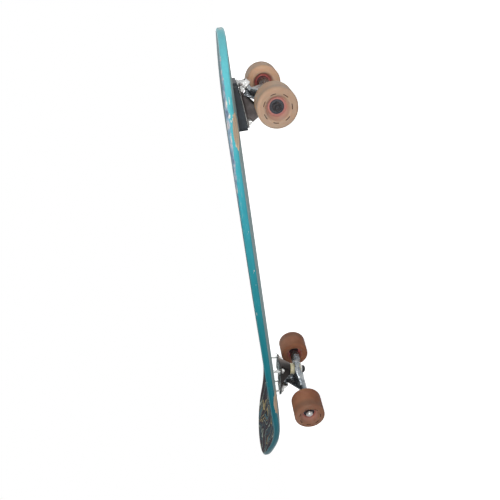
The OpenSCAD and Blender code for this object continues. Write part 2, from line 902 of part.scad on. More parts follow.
tyre(true, true);  // front_left_tyre
tyre(true, false);  // front_right_tyre
tyre(false, true);  // rear_left_tyre
tyre(false, false);  // rear_right_tyre
core(true, true);  // front_left_core
core(true, false);  // front_right_core
core(false, true);  // rear_left_core
core(false, false);  // rear_right_core
outer_rings(true, true);  // front_left_outer_rings
outer_rings(true, false);  // front_right_outer_rings
outer_rings(false, true);  // rear_left_outer_rings
outer_rings(false, false);  // rear_right_outer_rings
balls(true, true);  // front_left_balls
balls(true, false);  // front_right_balls
balls(false, true);  // rear_left_balls
balls(false, false);  // rear_right_balls
cages(true, true);  // front_left_cages
cages(true, false);  // front_right_cages
cages(false, true);  // rear_left_cages
cages(false, false);  // rear_right_cages
shields(true, true);  // front_left_shields
shields(true, false);  // front_right_shields
shields(false, true);  // rear_left_shields
shields(false, false);  // rear_right_shields
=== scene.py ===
import math
import bpy
import bmesh
import numpy as np
from mathutils import Matrix, Vector


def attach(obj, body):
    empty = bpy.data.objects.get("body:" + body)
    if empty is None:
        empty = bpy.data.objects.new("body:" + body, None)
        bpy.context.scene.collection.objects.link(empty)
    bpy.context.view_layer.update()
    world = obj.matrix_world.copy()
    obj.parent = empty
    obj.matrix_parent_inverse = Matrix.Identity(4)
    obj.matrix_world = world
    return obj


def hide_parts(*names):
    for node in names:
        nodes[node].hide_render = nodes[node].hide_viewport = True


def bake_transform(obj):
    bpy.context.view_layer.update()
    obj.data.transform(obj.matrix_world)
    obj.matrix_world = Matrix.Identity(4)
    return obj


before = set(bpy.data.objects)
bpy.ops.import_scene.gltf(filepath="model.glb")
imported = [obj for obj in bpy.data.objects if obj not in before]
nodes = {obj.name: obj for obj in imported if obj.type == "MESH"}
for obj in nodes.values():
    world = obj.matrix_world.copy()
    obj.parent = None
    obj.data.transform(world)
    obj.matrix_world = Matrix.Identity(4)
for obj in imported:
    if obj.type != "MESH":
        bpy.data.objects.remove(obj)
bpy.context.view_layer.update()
scene = bpy.context.scene


# Deck. Seven plies of maple pressed into a concave board with a kicked tail. The rails are rounded and
# lacquered turquoise, the underside is stained grey, and four wheel wells are sanded down to bare wood.
def linear(code):
    parts = [int(code[i:i + 2], 16) / 255 for i in (1, 3, 5)]
    return [p / 12.92 if p <= 0.04045 else ((p + 0.055) / 1.055) ** 2.4 for p in parts] + [1.0]


def join(tree, node, links):
    """Links each input from a node's first output in use, or from the output named beside that node."""
    for name, source in links.items():
        giver, output = source if isinstance(source, tuple) else (source, None)
        if output is None:
            output = [socket.enabled for socket in giver.outputs].index(True)
        tree.links.new(giver.outputs[output], node.inputs[name])


def add(tree, kind, settings=None, links=None):
    """Adds a node. "stops" are a ramp's places and colours, "span" a map range's From and To limits.
    A colour mix has its factor at input 0 and its two colours at 6 and 7."""
    node = tree.nodes.new(kind if "Node" in kind else "ShaderNode" + kind)
    for name, value in (settings or {}).items():
        if name == "stops":
            ramp = node.color_ramp
            while len(ramp.elements) < len(value):
                ramp.elements.new(0.5)
            for element, (place, colour) in zip(ramp.elements, value):
                element.position = place
                element.color = linear(colour)
        elif name == "span":
            for socket, limit in zip(node.inputs[1:5], value):
                socket.default_value = limit
        elif isinstance(name, str) and hasattr(node, name):
            setattr(node, name, value)
        else:
            node.inputs[name].default_value = value
    join(tree, node, links or {})
    return node


def new_finish(name, settings):
    """A material with its tree, its shader and its place in metres, so that a noise's Scale is its waves
    per metre: a pattern of 2 mm has a Scale of 500."""
    material = bpy.data.materials.new(name)
    material.use_nodes = True
    tree = material.node_tree
    tree.nodes.clear()
    shader = add(tree, "BsdfPrincipled", settings)
    add(tree, "OutputMaterial", links={"Surface": shader})
    return material, tree, shader, (add(tree, "TexCoord"), "Object")


def streaks(tree, source, waves, settings, turn=(0, 0, 0)):
    """A stretched noise, with its own waves per metre along x, y and z."""
    room = add(tree, "Mapping", {"Scale": waves, "Rotation": turn}, {"Vector": source})
    return add(tree, "TexNoise", {"Scale": 1.0, **settings}, {"Vector": room})


def to_mesh(name, verts, faces):
    mesh = bpy.data.meshes.new(name)
    mesh.from_pydata([tuple(v) for v in verts], [], faces)
    shape = bmesh.new()
    shape.from_mesh(mesh)
    bmesh.ops.remove_doubles(shape, verts=shape.verts, dist=1e-7)
    bmesh.ops.recalc_face_normals(shape, faces=shape.faces)
    shape.to_mesh(mesh)
    shape.free()
    piece = bpy.data.objects.new(name, mesh)
    scene.collection.objects.link(piece)
    return piece


def applied(piece):
    bpy.context.view_layer.update()
    graph = bpy.context.evaluated_depsgraph_get()
    made = piece.evaluated_get(graph)
    mesh = bpy.data.meshes.new_from_object(made, preserve_all_data_layers=True, depsgraph=graph)
    piece.modifiers.clear()
    piece.data = mesh
    return piece


def dress(piece, finishes, sharp=None):
    """Gives a piece its materials and smooth shading, broken at edges steeper than sharp degrees."""
    piece.data.materials.clear()
    for finish in finishes:
        piece.data.materials.append(finish)
    piece.data.shade_smooth()
    if sharp:
        piece.data.set_sharp_from_angle(angle=math.radians(sharp))


def note(piece, name, values):
    """Keeps a number at each point of a piece, which its material reads."""
    layer = piece.data.attributes.new(name, "FLOAT", "POINT")
    layer.data.foreach_set("value", np.asarray(values, np.float32))


nose_x, tail_x = 0.455, -0.455
front_axle_x, rear_axle_x = 0.348, -0.270
deck_w, deck_t, grip_t = 0.240, 0.0126, 0.0006
rail_round, flat_w, concave = 0.0045, 0.064, 0.0074
nose_taper, tail_taper, nose_power, tail_power, fullness = 0.186, 0.6, 2.2, 5, 2.4
kick_angle, kick_back, kick_bend_r, tail_ease_r = math.radians(21.5), 0.023, 0.214, 0.625
wheel_r, axle_out, axle_drop = 0.0305, 0.0083, 0.0475
wedge, riser_mid = math.radians(6.3), 0.011
plate_z = wheel_r - axle_out * math.sin(wedge) + axle_drop * math.cos(wedge)
under_z = plate_z + riser_mid
deck_top_z = under_z + deck_t
grip_top_z = deck_top_z + grip_t


def half_width(x):
    nose = np.clip((x - nose_x + nose_taper) / nose_taper, 0, 1)
    tail = np.clip((tail_x + tail_taper - x) / tail_taper, 0, 1)
    blunt_nosed = deck_w / 2 * (1 - nose ** nose_power) ** (1 / fullness)
    return blunt_nosed * (1 - tail ** tail_power) ** (1 / fullness)


def kick(x):
    """Height of the tail's kick: a bend, then a ramp that eases off."""
    run = kick_bend_r * math.sin(kick_angle)
    d = np.maximum(rear_axle_x - kick_back - x, 0)
    bent = kick_bend_r - np.sqrt(kick_bend_r ** 2 - np.minimum(d, run) ** 2)
    ramp = np.maximum(d - run, 0)
    return bent + ramp * math.tan(kick_angle) - ramp ** 2 / (2 * tail_ease_r)


def rise(y):
    """Height of the concave above the flat middle."""
    return concave * (np.maximum(np.abs(y) - flat_w / 2, 0) / (deck_w / 2 - flat_w / 2)) ** 2


def board_loops(low, high, corner, stations=190, across=21):
    """Rings of points round the board from nose to tail; corner is how far the rail's edges are rounded."""
    tip_turn, rail_arc, rail_points = 1.0, 75, 11
    turn = np.radians(tip_turn + (180 - 2 * tip_turn) * np.arange(stations + 1) / stations)
    x = nose_x * np.cos(turn) / math.cos(turn[0])
    w = half_width(nose_x * np.cos(turn))
    slope = np.gradient(w, x)
    out = np.stack([-slope, np.ones_like(slope)], 1)
    out /= np.linalg.norm(out, axis=1)[:, None]
    out[0], out[-1] = (1, 0), (-1, 0)
    arc = np.radians(np.linspace(-rail_arc, rail_arc, rail_points))
    loops = []
    for i in range(stations + 1):
        inner_x, inner_w = x[i] - out[i, 0] * rail_round, w[i] - out[i, 1] * rail_round
        under, over = ([(inner_x, n * inner_w, z) for n in np.linspace(-1, 1, across)] for z in (low, high))
        left, right = [], []
        if corner:
            for side, edge in ((1, left), (-1, right)):
                for a in arc:
                    inset = rail_round * (1 - math.cos(a))
                    level = low + corner if a < 0 else high - corner
                    edge.append((x[i] - out[i, 0] * inset, side * (w[i] - out[i, 1] * inset),
                                 level + corner * math.sin(a)))
        ring = np.array(under + left + over[::-1] + right[::-1])
        ring[:, 2] += kick(ring[:, 0]) + rise(ring[:, 1])
        loops.append(ring)
    return np.array(loops)


def lofted(name, loops):
    n, m = loops.shape[:2]
    verts = list(loops.reshape(-1, 3))
    for ring, way in ((loops[0], 1), (loops[-1], -1)):
        verts.append((way * (way * ring[:, 0]).max(), ring[:, 1].mean(), ring[:, 2].mean()))
    faces = [(i * m + k, (i + 1) * m + k, (i + 1) * m + (k + 1) % m, i * m + (k + 1) % m)
             for i in range(n - 1) for k in range(m)]
    faces += [(n * m, k, (k + 1) % m) for k in range(m)]
    faces += [(n * m + 1, (n - 1) * m + (k + 1) % m, (n - 1) * m + k) for k in range(m)]
    return to_mesh(name, verts, faces)


def truck_frame(x, turned):
    """The middle of a base plate's upper face, with x pointing outward along the board."""
    back = axle_out * math.cos(wedge) + axle_drop * math.sin(wedge)
    return (Matrix.Translation((x, 0, 0)) @ Matrix.Rotation(turned, 4, "Z")
            @ Matrix.Translation((-back, 0, plate_z)) @ Matrix.Rotation(-wedge, 4, "Y"))


trucks = {"front": truck_frame(front_axle_x, 0), "rear": truck_frame(rear_axle_x, math.pi)}
bolt_pitch_x, bolt_pitch_y, bolt_head_r = 0.05398, 0.04128, 0.0047
bolt_places = [(x * bolt_pitch_x / 2, y * bolt_pitch_y / 2) for x in (-1, 1) for y in (-1, 1)]


def head_top(x):
    return (grip_top_z - plate_z - (x + bolt_head_r) * math.sin(wedge)) / math.cos(wedge)


def cut(piece, cutter):
    knife = piece.modifiers.new("cut", "BOOLEAN")
    knife.object = cutter
    knife.operation = "DIFFERENCE"
    knife.solver = "EXACT"
    applied(piece)
    bpy.data.objects.remove(cutter)


def lathed(profiles, steps=72):
    """Closed profiles of (radius, height), each turned round the z axis of its own place."""
    verts, faces = [], []
    for profile, place in profiles:
        first, m = len(verts), len(profile)
        for k in range(steps):
            a = 2 * math.pi * k / steps
            verts += [place @ Vector((r * math.cos(a), r * math.sin(a), z)) for r, z in profile]
        faces += [(first + k * m + i, first + ((k + 1) % steps) * m + i,
                   first + ((k + 1) % steps) * m + (i + 1) % m, first + k * m + (i + 1) % m)
                  for k in range(steps) for i in range(m)]
    return verts, faces


def bolt_rooms(name):
    """The bolts' clearance holes with their countersinks, as one cutter."""
    hole_r, sink_r, sink_depth, below, above = 0.0027, 0.0050, 0.0026, 0.01, 0.006
    profiles = []
    for truck in trucks.values():
        for x, y in bolt_places:
            top = head_top(x)
            profile = [(hole_r, -below), (hole_r, top - sink_depth), (sink_r, top), (sink_r, top + above),
                       (0, top + above), (0, -below)]
            profiles.append((profile, truck @ Matrix.Translation((x, y, 0))))
    return to_mesh(name, *lathed(profiles, steps=48))


well_depth, well_len, well_reach, well_cutter_l = 0.0045, 0.060, 0.036, 0.082
front_well_in, rear_well_in = 0.026, 0.038
well_edge = float(half_width(rear_axle_x + rear_well_in))
well_r = (well_len ** 2 / 4 + well_depth ** 2) / (2 * well_depth)
well_climb = math.atan2(well_depth + rise(well_edge) - rise(well_edge - well_reach), well_reach)
wells = []
for x in (front_axle_x - front_well_in, rear_axle_x + rear_well_in):
    for side in (1, -1):
        wells.append(Matrix.Diagonal((1, side, 1, 1))
                     @ Matrix.Translation((x, well_edge, under_z + rise(well_edge) + well_depth))
                     @ Matrix.Rotation(well_climb, 4, "X") @ Matrix.Translation((0, 0, -well_r))
                     @ Matrix.Rotation(math.pi / 2, 4, "X"))
shapes = bmesh.new()
for well in wells:
    made = bmesh.ops.create_cone(shapes, cap_ends=True, segments=360, radius1=well_r, radius2=well_r,
                                 depth=well_cutter_l)
    bmesh.ops.transform(shapes, verts=made["verts"], matrix=well)
bmesh.ops.recalc_face_normals(shapes, faces=shapes.faces)
well_mesh = bpy.data.meshes.new("well_rooms")
shapes.to_mesh(well_mesh)
well_rooms = bpy.data.objects.new("well_rooms", well_mesh)
scene.collection.objects.link(well_rooms)

deck = lofted("deck_laminate", board_loops(under_z, deck_top_z, rail_round))
cut(deck, well_rooms)
cut(deck, bolt_rooms("deck_bolt_rooms"))

# Stained and lacquered maple: turquoise with a soft clear gloss, painted paler toward the nose and darker
# toward the tail as painted light, with the grain's lines drawn 2.4 mm apart so that they show. Chips,
# knocks and hair scratches go down to pale wood; one pale streak on the front rail and the nose's tip are
# painted highlights. The faded edge of the top's print laps over the front corners.
grain_waves = (14, 420, 420)
lacquer, tree, shader, place = new_finish("turquoise_lacquered_maple", {
    "Roughness": 0.36, "IOR": 1.5, "Specular IOR Level": 0.15})
grain = streaks(tree, place, grain_waves, {"Detail": 5, "Roughness": 0.6})
cloud = add(tree, "TexNoise", {"Scale": 16, "Detail": 3}, {"Vector": place})
tint = add(tree, "Math", {"operation": "ADD"}, {0: grain, 1: cloud})
tint = add(tree, "Math", {"operation": "MULTIPLY", 1: 0.5}, {0: tint})
spot = add(tree, "SeparateXYZ", None, {"Vector": place})
# Painted light: the turquoise is painted paler toward the nose and darker toward the tail
painted_falloff = add(tree, "MapRange", {"span": (tail_x, nose_x, 0, 1)}, {"Value": (spot, "X")})
painted_falloff_colours = add(tree, "ValToRGB", {"stops": [
    (0.0, "#005965"), (0.2, "#056b79"), (0.5, "#22828d"),
    (0.75, "#3a9dab"), (0.9, "#4fadb6"), (1.0, "#6fc1ca")]}, {"Fac": painted_falloff})
streak = add(tree, "MapRange", {"span": (0.3, 0.7, 0.86, 1.14)}, {"Value": tint})
turquoise = add(tree, "HueSaturation", None, {"Color": painted_falloff_colours, "Value": streak})
level = (add(tree, "Attribute", {"attribute_name": "level"}), "Fac")
inset = (add(tree, "Attribute", {"attribute_name": "inset"}), "Fac")

# Small chips of 4 to 8 mm, most of them on the outermost part of the rail
chips = streaks(tree, place, (120, 260, 260), {"Detail": 4, "Roughness": 0.7})
rarity = add(tree, "TexNoise", {"Scale": 9, "Detail": 1}, {"Vector": place})
worn = add(tree, "Math", {"operation": "MULTIPLY"}, {0: chips, 1: rarity})
outer = add(tree, "MapRange", {"span": (0.0005, 0.0035, 1, 0.72)}, {"Value": inset})
worn = add(tree, "Math", {"operation": "MULTIPLY"}, {0: worn, 1: outer})
wear_and_highlight_mask = add(tree, "MapRange", {"span": (0.41, 0.42, 0, 0.7)}, {"Value": worn})

# The print's lap: up to 6.4 mm over the front upper edge, less toward the tip, with a ragged border
overhang = add(tree, "MapRange", {"span": (0.17, 0.27, 0, 0.0064)}, {"Value": (spot, "X")})
nose_end = add(tree, "MapRange", {"span": (0.36, 0.45, 1, 0.15)}, {"Value": (spot, "X")})
overhang = add(tree, "Math", {"operation": "MULTIPLY_ADD"}, {0: overhang, 1: nose_end, 2: level})
ragged = add(tree, "TexNoise", {"Scale": 150, "Detail": 4, "Roughness": 0.6}, {"Vector": place})
ragged = add(tree, "Math", {"operation": "MULTIPLY_ADD", 1: 0.006}, {0: ragged, 2: overhang})
wrap = add(tree, "MapRange", {"span": (0.0168, 0.0182, 0, 0.9)}, {"Value": ragged})
patch = streaks(tree, place, (60, 150, 240), {"Detail": 3, "Roughness": 0.6})
faded_print = add(tree, "ValToRGB", {"stops": [
    (0.34, "#595e73"), (0.43, "#7d86a1"), (0.51, "#84a6b6"), (0.58, "#b3a5b1"), (0.64, "#ddd3c2")]},
    {"Fac": patch})
edged = add(tree, "Mix", {"data_type": "RGBA"}, {0: wrap, 6: turquoise, 7: faded_print})

# Knocks on the rail at the right, and at 366 mm a painted highlight streak: place along the board,
# level on the rail, length and height
knocks_and_highlight = ((0.345, 0.0072, 0.0034, 0.0016), (0.338, 0.0056, 0.0022, 0.0009), (0.366, 0.0050, 0.0050, 0.0007),
          (0.084, 0.0034, 0.0022, 0.0009), (-0.004, 0.0100, 0.0030, 0.0005))
right_side = add(tree, "Math", {"operation": "LESS_THAN", 1: 0.0}, {0: (spot, "Y")})
nibble = add(tree, "TexNoise", {"Scale": 800, "Detail": 3}, {"Vector": place})
for mark_x, mark_level, length, height in knocks_and_highlight:
    off_x = add(tree, "Math", {"operation": "MULTIPLY_ADD", 1: 1 / length, 2: -mark_x / length},
                {0: (spot, "X")})
    off_z = add(tree, "Math", {"operation": "MULTIPLY_ADD", 1: 1 / height, 2: -mark_level / height},
                {0: level})
    offset = add(tree, "CombineXYZ", None, {"X": off_x, "Y": off_z})
    away = add(tree, "VectorMath", {"operation": "LENGTH"}, {0: offset})
    away = add(tree, "Math", {"operation": "MULTIPLY_ADD", 1: 2.2}, {0: nibble, 2: away})
    rail_mark = add(tree, "MapRange", {"span": (1.75, 2.1, 0.9, 0)}, {"Value": away})
    rail_mark = add(tree, "Math", {"operation": "MULTIPLY"}, {0: rail_mark, 1: right_side})
    wear_and_highlight_mask = add(tree, "Math", {"operation": "MAXIMUM"}, {0: wear_and_highlight_mask, 1: rail_mark})

# Hair scratches along the front rails, drawn 1.2 mm wide so that they show, and a painted highlight on
# the nose's tip
hairs = streaks(tree, place, (70, 0, 800), {"Detail": 4, "Roughness": 0.65}, (0, 0.05, 0))
hairs = add(tree, "MapRange", {"span": (0.56, 0.66, 0, 0.3)}, {"Value": hairs})
for source, span in (((spot, "X"), (0.10, 0.24, 0, 1)), ((spot, "X"), (0.29, 0.33, 1, 0)),
                     (level, (0.003, 0.006, 0, 1))):
    within = add(tree, "MapRange", {"span": span}, {"Value": source})
    hairs = add(tree, "Math", {"operation": "MULTIPLY"}, {0: hairs, 1: within})
# Painted highlight: the nose's tip is painted pale
tip_highlight = add(tree, "Math", {"operation": "MULTIPLY_ADD", 1: 0.009}, {0: nibble, 2: (spot, "X")})
tip_highlight = add(tree, "MapRange", {"span": (0.4588, 0.4596, 0, 0.7)}, {"Value": tip_highlight})
for wear in (hairs, tip_highlight):
    wear_and_highlight_mask = add(tree, "Math", {"operation": "MAXIMUM"}, {0: wear_and_highlight_mask, 1: wear})
skin = add(tree, "Mix", {"data_type": "RGBA", 7: linear("#dccfc6")}, {0: wear_and_highlight_mask, 6: edged})
dent = add(tree, "Math", {"operation": "SUBTRACT"}, {0: grain, 1: wear_and_highlight_mask})
relief = add(tree, "Bump", {"Strength": 0.12, "Distance": 0.0003}, {"Height": dent})
join(tree, shader, {"Base Color": skin, "Normal": relief})

# Grey-stained maple: the underside has a thin stain and no lacquer, so it is matt and shows its grain
stained, tree, shader, place = new_finish("grey_stained_maple", {
    "Roughness": 0.6, "IOR": 1.5, "Specular IOR Level": 0.1})
grain = streaks(tree, place, grain_waves, {"Detail": 5, "Roughness": 0.6})
grey = add(tree, "ValToRGB", {"stops": [(0.3, "#849b9f"), (0.5, "#98b0b1"), (0.7, "#a8bcbc")]},
           {"Fac": grain})
relief = add(tree, "Bump", {"Strength": 0.15, "Distance": 0.0003}, {"Height": grain})
join(tree, shader, {"Base Color": grey, "Normal": relief})

# Bare sanded maple: dull, pale tan made lighter still as painted light in the shaded wells, with the plies'
# glue lines showing as thin dark bands 1.6 mm apart
ply_t = 0.00163
bare, tree, shader, place = new_finish("bare_sanded_maple", {
    "Roughness": 0.7, "IOR": 1.5, "Specular IOR Level": 0.3})
grain = streaks(tree, place, (30, 500, 900), {"Detail": 5, "Roughness": 0.65})
wood_and_painted_light = add(tree, "ValToRGB", {"stops": [(0.3, "#dcbb9a"), (0.5, "#f4d8b8"), (0.7, "#fbe9d2")]},
           {"Fac": grain})
level = (add(tree, "Attribute", {"attribute_name": "level"}), "Fac")
ply = add(tree, "Math", {"operation": "DIVIDE", 1: ply_t}, {0: level})
ply = add(tree, "Math", {"operation": "FRACT"}, {0: ply})
glue = add(tree, "MapRange", {"span": (0, 0.25, 0.55, 0)}, {"Value": ply})
sanded = add(tree, "Mix", {"data_type": "RGBA", 7: linear("#6d4f34")}, {0: glue, 6: wood_and_painted_light})
relief = add(tree, "Bump", {"Strength": 0.2, "Distance": 0.0003}, {"Height": grain})
join(tree, shader, {"Base Color": sanded, "Normal": relief})

# The underside is stained up to the turn of the rail; round the tail it is lacquered 20 mm in from the edge
under_film, stain_end_x, tail_border, well_skin = 0.0007, -0.31, 0.02, 0.00025
edge_angle = 32
dress(deck, [lacquer, bare, stained], edge_angle)
spots = np.array([v.co for v in deck.data.vertices])
note(deck, "level", spots[:, 2] - kick(spots[:, 0]) - rise(spots[:, 1]) - under_z)
note(deck, "inset", half_width(spots[:, 0]) - np.abs(spots[:, 1]))
homes = [well.inverted() for well in wells]
for face in deck.data.polygons:
    x, y, z = face.center
    inward = half_width(x) - abs(y)
    if z - kick(x) - rise(y) - under_z < under_film and (x > stain_end_x or inward > tail_border):
        face.material_index = 2
    for home in homes:
        within = home @ face.center
        on_wall = abs(math.hypot(within.x, within.y) - well_r) < well_skin
        if on_wall and abs(within.z) < well_cutter_l / 2:
            face.material_index = 1
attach(deck, "board")
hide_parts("deck")

# Printed grip sheet. A clear film with fine grit, printed on its back and stuck over the deck's top.
# The print is a plain flowing marble in slate, plum, blue-grey and cream.
sheet = lofted("printed_top_sheet", board_loops(deck_top_z, grip_top_z, 0))
cut(sheet, bolt_rooms("sheet_bolt_rooms"))


def print_inks(tree, place):
    """Pools of ink, 45 to 110 mm, that run into one another, each with a dark edge."""
    warp = streaks(tree, place, (8, 14, 3), {"Detail": 1.5, "Distortion": 0.8})
    bend = add(tree, "VectorMath", {"operation": "SCALE", "Scale": 0.16}, {0: (warp, "Color")})
    drift = add(tree, "VectorMath", {"operation": "ADD"}, {0: place, 1: bend})
    flow = streaks(tree, drift, (9, 22, 3), {"Detail": 2, "Roughness": 0.4}, (0, 0, 0.35))
    inks = add(tree, "ValToRGB", {"stops": [
        (0.0, "#2b3d46"), (0.33, "#12181d"), (0.345, "#3c464c"), (0.42, "#171c21"), (0.43, "#3a3036"),
        (0.488, "#14191e"), (0.50, "#98a297"), (0.522, "#1a2025"), (0.532, "#3a4c54"), (0.57, "#3a3036"),
        (0.61, "#161d22"), (0.62, "#ab9c74"), (0.64, "#1a2025"), (0.655, "#55727a"), (0.70, "#2e3a40")]},
        {"Fac": flow})
    inks.color_ramp.interpolation = "CONSTANT"
    return inks


# Gritty film: matt, with grit drawn 0.7 mm wide, coarser than it is, so that it shows. The rim is rubbed
# pale toward the two ends, and the print is painted paler toward the nose as painted light.
print_film, tree, shader, place = new_finish("printed_grit_film", {
    "Roughness": 0.85, "IOR": 1.5, "Specular IOR Level": 0.1})
inks = print_inks(tree, place)
grit = add(tree, "TexNoise", {"Scale": 1400, "Detail": 2}, {"Vector": place})
inset = (add(tree, "Attribute", {"attribute_name": "inset"}), "Fac")
wear = add(tree, "TexNoise", {"Scale": 60, "Detail": 4, "Roughness": 0.6}, {"Vector": place})
rim = add(tree, "Math", {"operation": "MULTIPLY_ADD", 1: 0.006}, {0: wear, 2: inset})
rim = add(tree, "MapRange", {"span": (0.0078, 0.0086, 0.9, 0)}, {"Value": rim})
spot = add(tree, "SeparateXYZ", None, {"Vector": place})
from_middle = add(tree, "Math", {"operation": "ADD", 1: 0.075}, {0: (spot, "X")})
from_middle = add(tree, "Math", {"operation": "ABSOLUTE"}, {0: from_middle})
ends = add(tree, "MapRange", {"span": (0.19, 0.24, 0.15, 1)}, {"Value": from_middle})
rim = add(tree, "Math", {"operation": "MULTIPLY"}, {0: rim, 1: ends})
# Painted light: the print is painted paler toward the nose
painted_nose_light = add(tree, "MapRange", {"span": (0.05, 0.42, 0, 0.8)}, {"Value": (spot, "X")})
dust = add(tree, "MapRange", {"span": (0.5, 0.75, 0, 0.35)}, {"Value": grit})
top = inks
for mask, colour in ((rim, "#c0bfaa"), (painted_nose_light, "#93adb5"), (dust, "#8c949a")):
    top = add(tree, "Mix", {"data_type": "RGBA", 7: linear(colour)}, {0: mask, 6: top})
relief = add(tree, "Bump", {"Strength": 0.35, "Distance": 0.0002}, {"Height": grit})
join(tree, shader, {"Base Color": top, "Normal": relief})

# The film's cut edge is lacquered over with the rail
cut_edge = 0.006
dress(sheet, [print_film, lacquer], edge_angle)
spots = np.array([v.co for v in sheet.data.vertices])
note(sheet, "inset", half_width(spots[:, 0]) - np.abs(spots[:, 1]))
note(sheet, "level", np.full(len(spots), deck_t))
for face in sheet.data.polygons:
    if abs(face.normal.z) < 0.5 and half_width(face.center.x) - abs(face.center.y) < cut_edge:
        face.material_index = 1
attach(sheet, "board")
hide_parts("printed_grip_sheet")


# Risers. Moulded wedges, black rubber in front and clear urethane behind, that tilt each truck outward
# and keep the wheels clear of the deck. They are clamped between the deck and the base plate.
def clad(node, finish):
    nodes[node].data.materials.clear()
    nodes[node].data.materials.append(finish)


# Moulded black rubber: satin, with soft edges and a skin of 1 mm pores
riser_rubber, tree, shader, place = new_finish("moulded_black_rubber", {"Roughness": 0.5, "IOR": 1.5})
mottle = add(tree, "TexNoise", {"Scale": 90, "Detail": 4}, {"Vector": place})
black = add(tree, "ValToRGB", {"stops": [(0.3, "#131a22"), (0.7, "#232c36")]}, {"Fac": mottle})
skin = add(tree, "TexNoise", {"Scale": 900, "Detail": 3}, {"Vector": place})
edge = add(tree, "Bevel", {"samples": 4, "Radius": 0.0006})
relief = add(tree, "Bump", {"Strength": 0.12, "Distance": 0.0002}, {"Height": skin, "Normal": edge})
join(tree, shader, {"Base Color": black, "Normal": relief})

# Clear cast urethane: see-through and slightly misted in patches of 11 mm. Its IOR is matched,
# below the real 1.5, so that it mirrors less of the deck.
clear, tree, shader, place = new_finish("clear_cast_urethane", {
    "Base Color": linear("#fdfefe"), "IOR": 1.2, "Transmission Weight": 1.0})
mottle = add(tree, "TexNoise", {"Scale": 90, "Detail": 4}, {"Vector": place})
misted = add(tree, "MapRange", {"span": (0.3, 0.7, 0.1, 0.25)}, {"Value": mottle})
join(tree, shader, {"Roughness": misted})
clad("front_riser", riser_rubber)
clad("rear_riser", clear)


# Base plates. Sand-cast aluminium, tumbled and dulled: a bolted flange with the kingpin's boss and the
# pivot's housing cast in one. Edges are soft, as a casting's are.
def cast_copy(node, name, voxel, rounds, ribs=()):
    """A copy of a CAD node with its ribs added, its joins filled and its edges rounded off."""
    piece = bpy.data.objects.new(name, nodes[node].data.copy())
    scene.collection.objects.link(piece)
    shape = bmesh.new()
    shape.from_mesh(piece.data)
    bmesh.ops.remove_doubles(shape, verts=shape.verts, dist=1e-6)
    for corners in ribs:
        bmesh.ops.convex_hull(shape, input=[shape.verts.new(corner) for corner in corners])
    shape.to_mesh(piece.data)
    shape.free()
    remesh = piece.modifiers.new("skin", "REMESH")
    remesh.mode = "VOXEL"
    remesh.voxel_size = voxel
    soften = piece.modifiers.new("soften", "SMOOTH")
    soften.factor = 0.5
    soften.iterations = rounds
    return applied(piece)


kingpin_lean, kingpin_in, seat_drop = math.radians(6), 0.014, 0.0245
pivot_out, pivot_drop, ring_middle = 0.0285, 0.0125, 0.0125


def seat_frame(truck):
    """The bushings' seat on the base plate, with z up along the kingpin."""
    return truck @ Matrix.Translation((-kingpin_in, 0, -seat_drop)) @ Matrix.Rotation(-kingpin_lean, 4, "Y")


def pivot_frame(truck):
    """The pivot's centre, with z along the steering axis away from the hanger's ring."""
    ring = Vector((ring_middle * math.sin(kingpin_lean) - kingpin_in, 0,
                   -seat_drop - ring_middle * math.cos(kingpin_lean)))
    pivot = Vector((pivot_out, 0, -pivot_drop))
    return truck @ Matrix.Translation(pivot) @ (pivot - ring).to_track_quat("Z", "Y").to_matrix().to_4x4()


# Tumbled cast aluminium: a sandy grain of 0.9 mm with grime in it, rubbed bright on the front flange and
# round the pivot, where it has 4 mm dimples. The rear plate is painted darker at the right as painted shade,
# and paler at the left as painted light.
cast_grey, tree, shader, place = new_finish("tumbled_cast_aluminium", {"Metallic": 0.8})
sand = add(tree, "TexNoise", {"Scale": 1100, "Detail": 4, "Roughness": 0.65}, {"Vector": place})
stain = add(tree, "TexNoise", {"Scale": 60, "Detail": 4}, {"Vector": place})
grime_and_painted_shading = add(tree, "ValToRGB", {"stops": [(0.3, "#3d3837"), (0.5, "#4d4746"), (0.7, "#625c5a")]},
            {"Fac": stain})
clean = add(tree, "ValToRGB", {"stops": [(0.3, "#929292"), (0.7, "#d6d6d4")]}, {"Fac": stain})
spot = add(tree, "SeparateXYZ", None, {"Vector": place})
rear = add(tree, "Math", {"operation": "LESS_THAN", 1: 0.0}, {0: (spot, "X")})
# Painted shade toward negative y on the rear plate, and painted light toward positive y
for span, colour in (((-0.006, 0.004, 0.7, 0), "#1f1c1b"), ((-0.002, 0.008, 0, 0.45), "#8d8078")):
    side = add(tree, "MapRange", {"span": span}, {"Value": (spot, "Y")})
    side = add(tree, "Math", {"operation": "MULTIPLY"}, {0: side, 1: rear})
    grime_and_painted_shading = add(tree, "Mix", {"data_type": "RGBA", 7: linear(colour)}, {0: side, 6: grime_and_painted_shading})
depth = (add(tree, "Attribute", {"attribute_name": "depth"}), "Fac")
flange = add(tree, "MapRange", {"span": (0.0014, 0.0022, 1, 0)}, {"Value": depth})
flange = add(tree, "Math", {"operation": "SUBTRACT", "use_clamp": True}, {0: flange, 1: rear})
pivot_room = (add(tree, "Attribute", {"attribute_name": "pivot_room"}), "Fac")
housing = add(tree, "MapRange", {"span": (0.0105, 0.0135, 1, 0)}, {"Value": pivot_room})
rubbed = add(tree, "Math", {"operation": "MAXIMUM"}, {0: flange, 1: housing})
metal = add(tree, "Mix", {"data_type": "RGBA"}, {0: rubbed, 6: grime_and_painted_shading, 7: clean})
gloss = add(tree, "MapRange", {"span": (0, 1, 0.45, 0.18)}, {"Value": rubbed})
dimple = add(tree, "TexNoise", {"Scale": 230, "Detail": 3, "Roughness": 0.6}, {"Vector": place})
relief = add(tree, "Bump", {"Strength": 0.3, "Distance": 0.0002}, {"Height": sand})
cast = add(tree, "Bump", {"Distance": 0.002}, {"Height": dimple, "Strength": housing, "Normal": relief})
join(tree, shader, {"Base Color": metal, "Roughness": gloss, "Normal": cast})

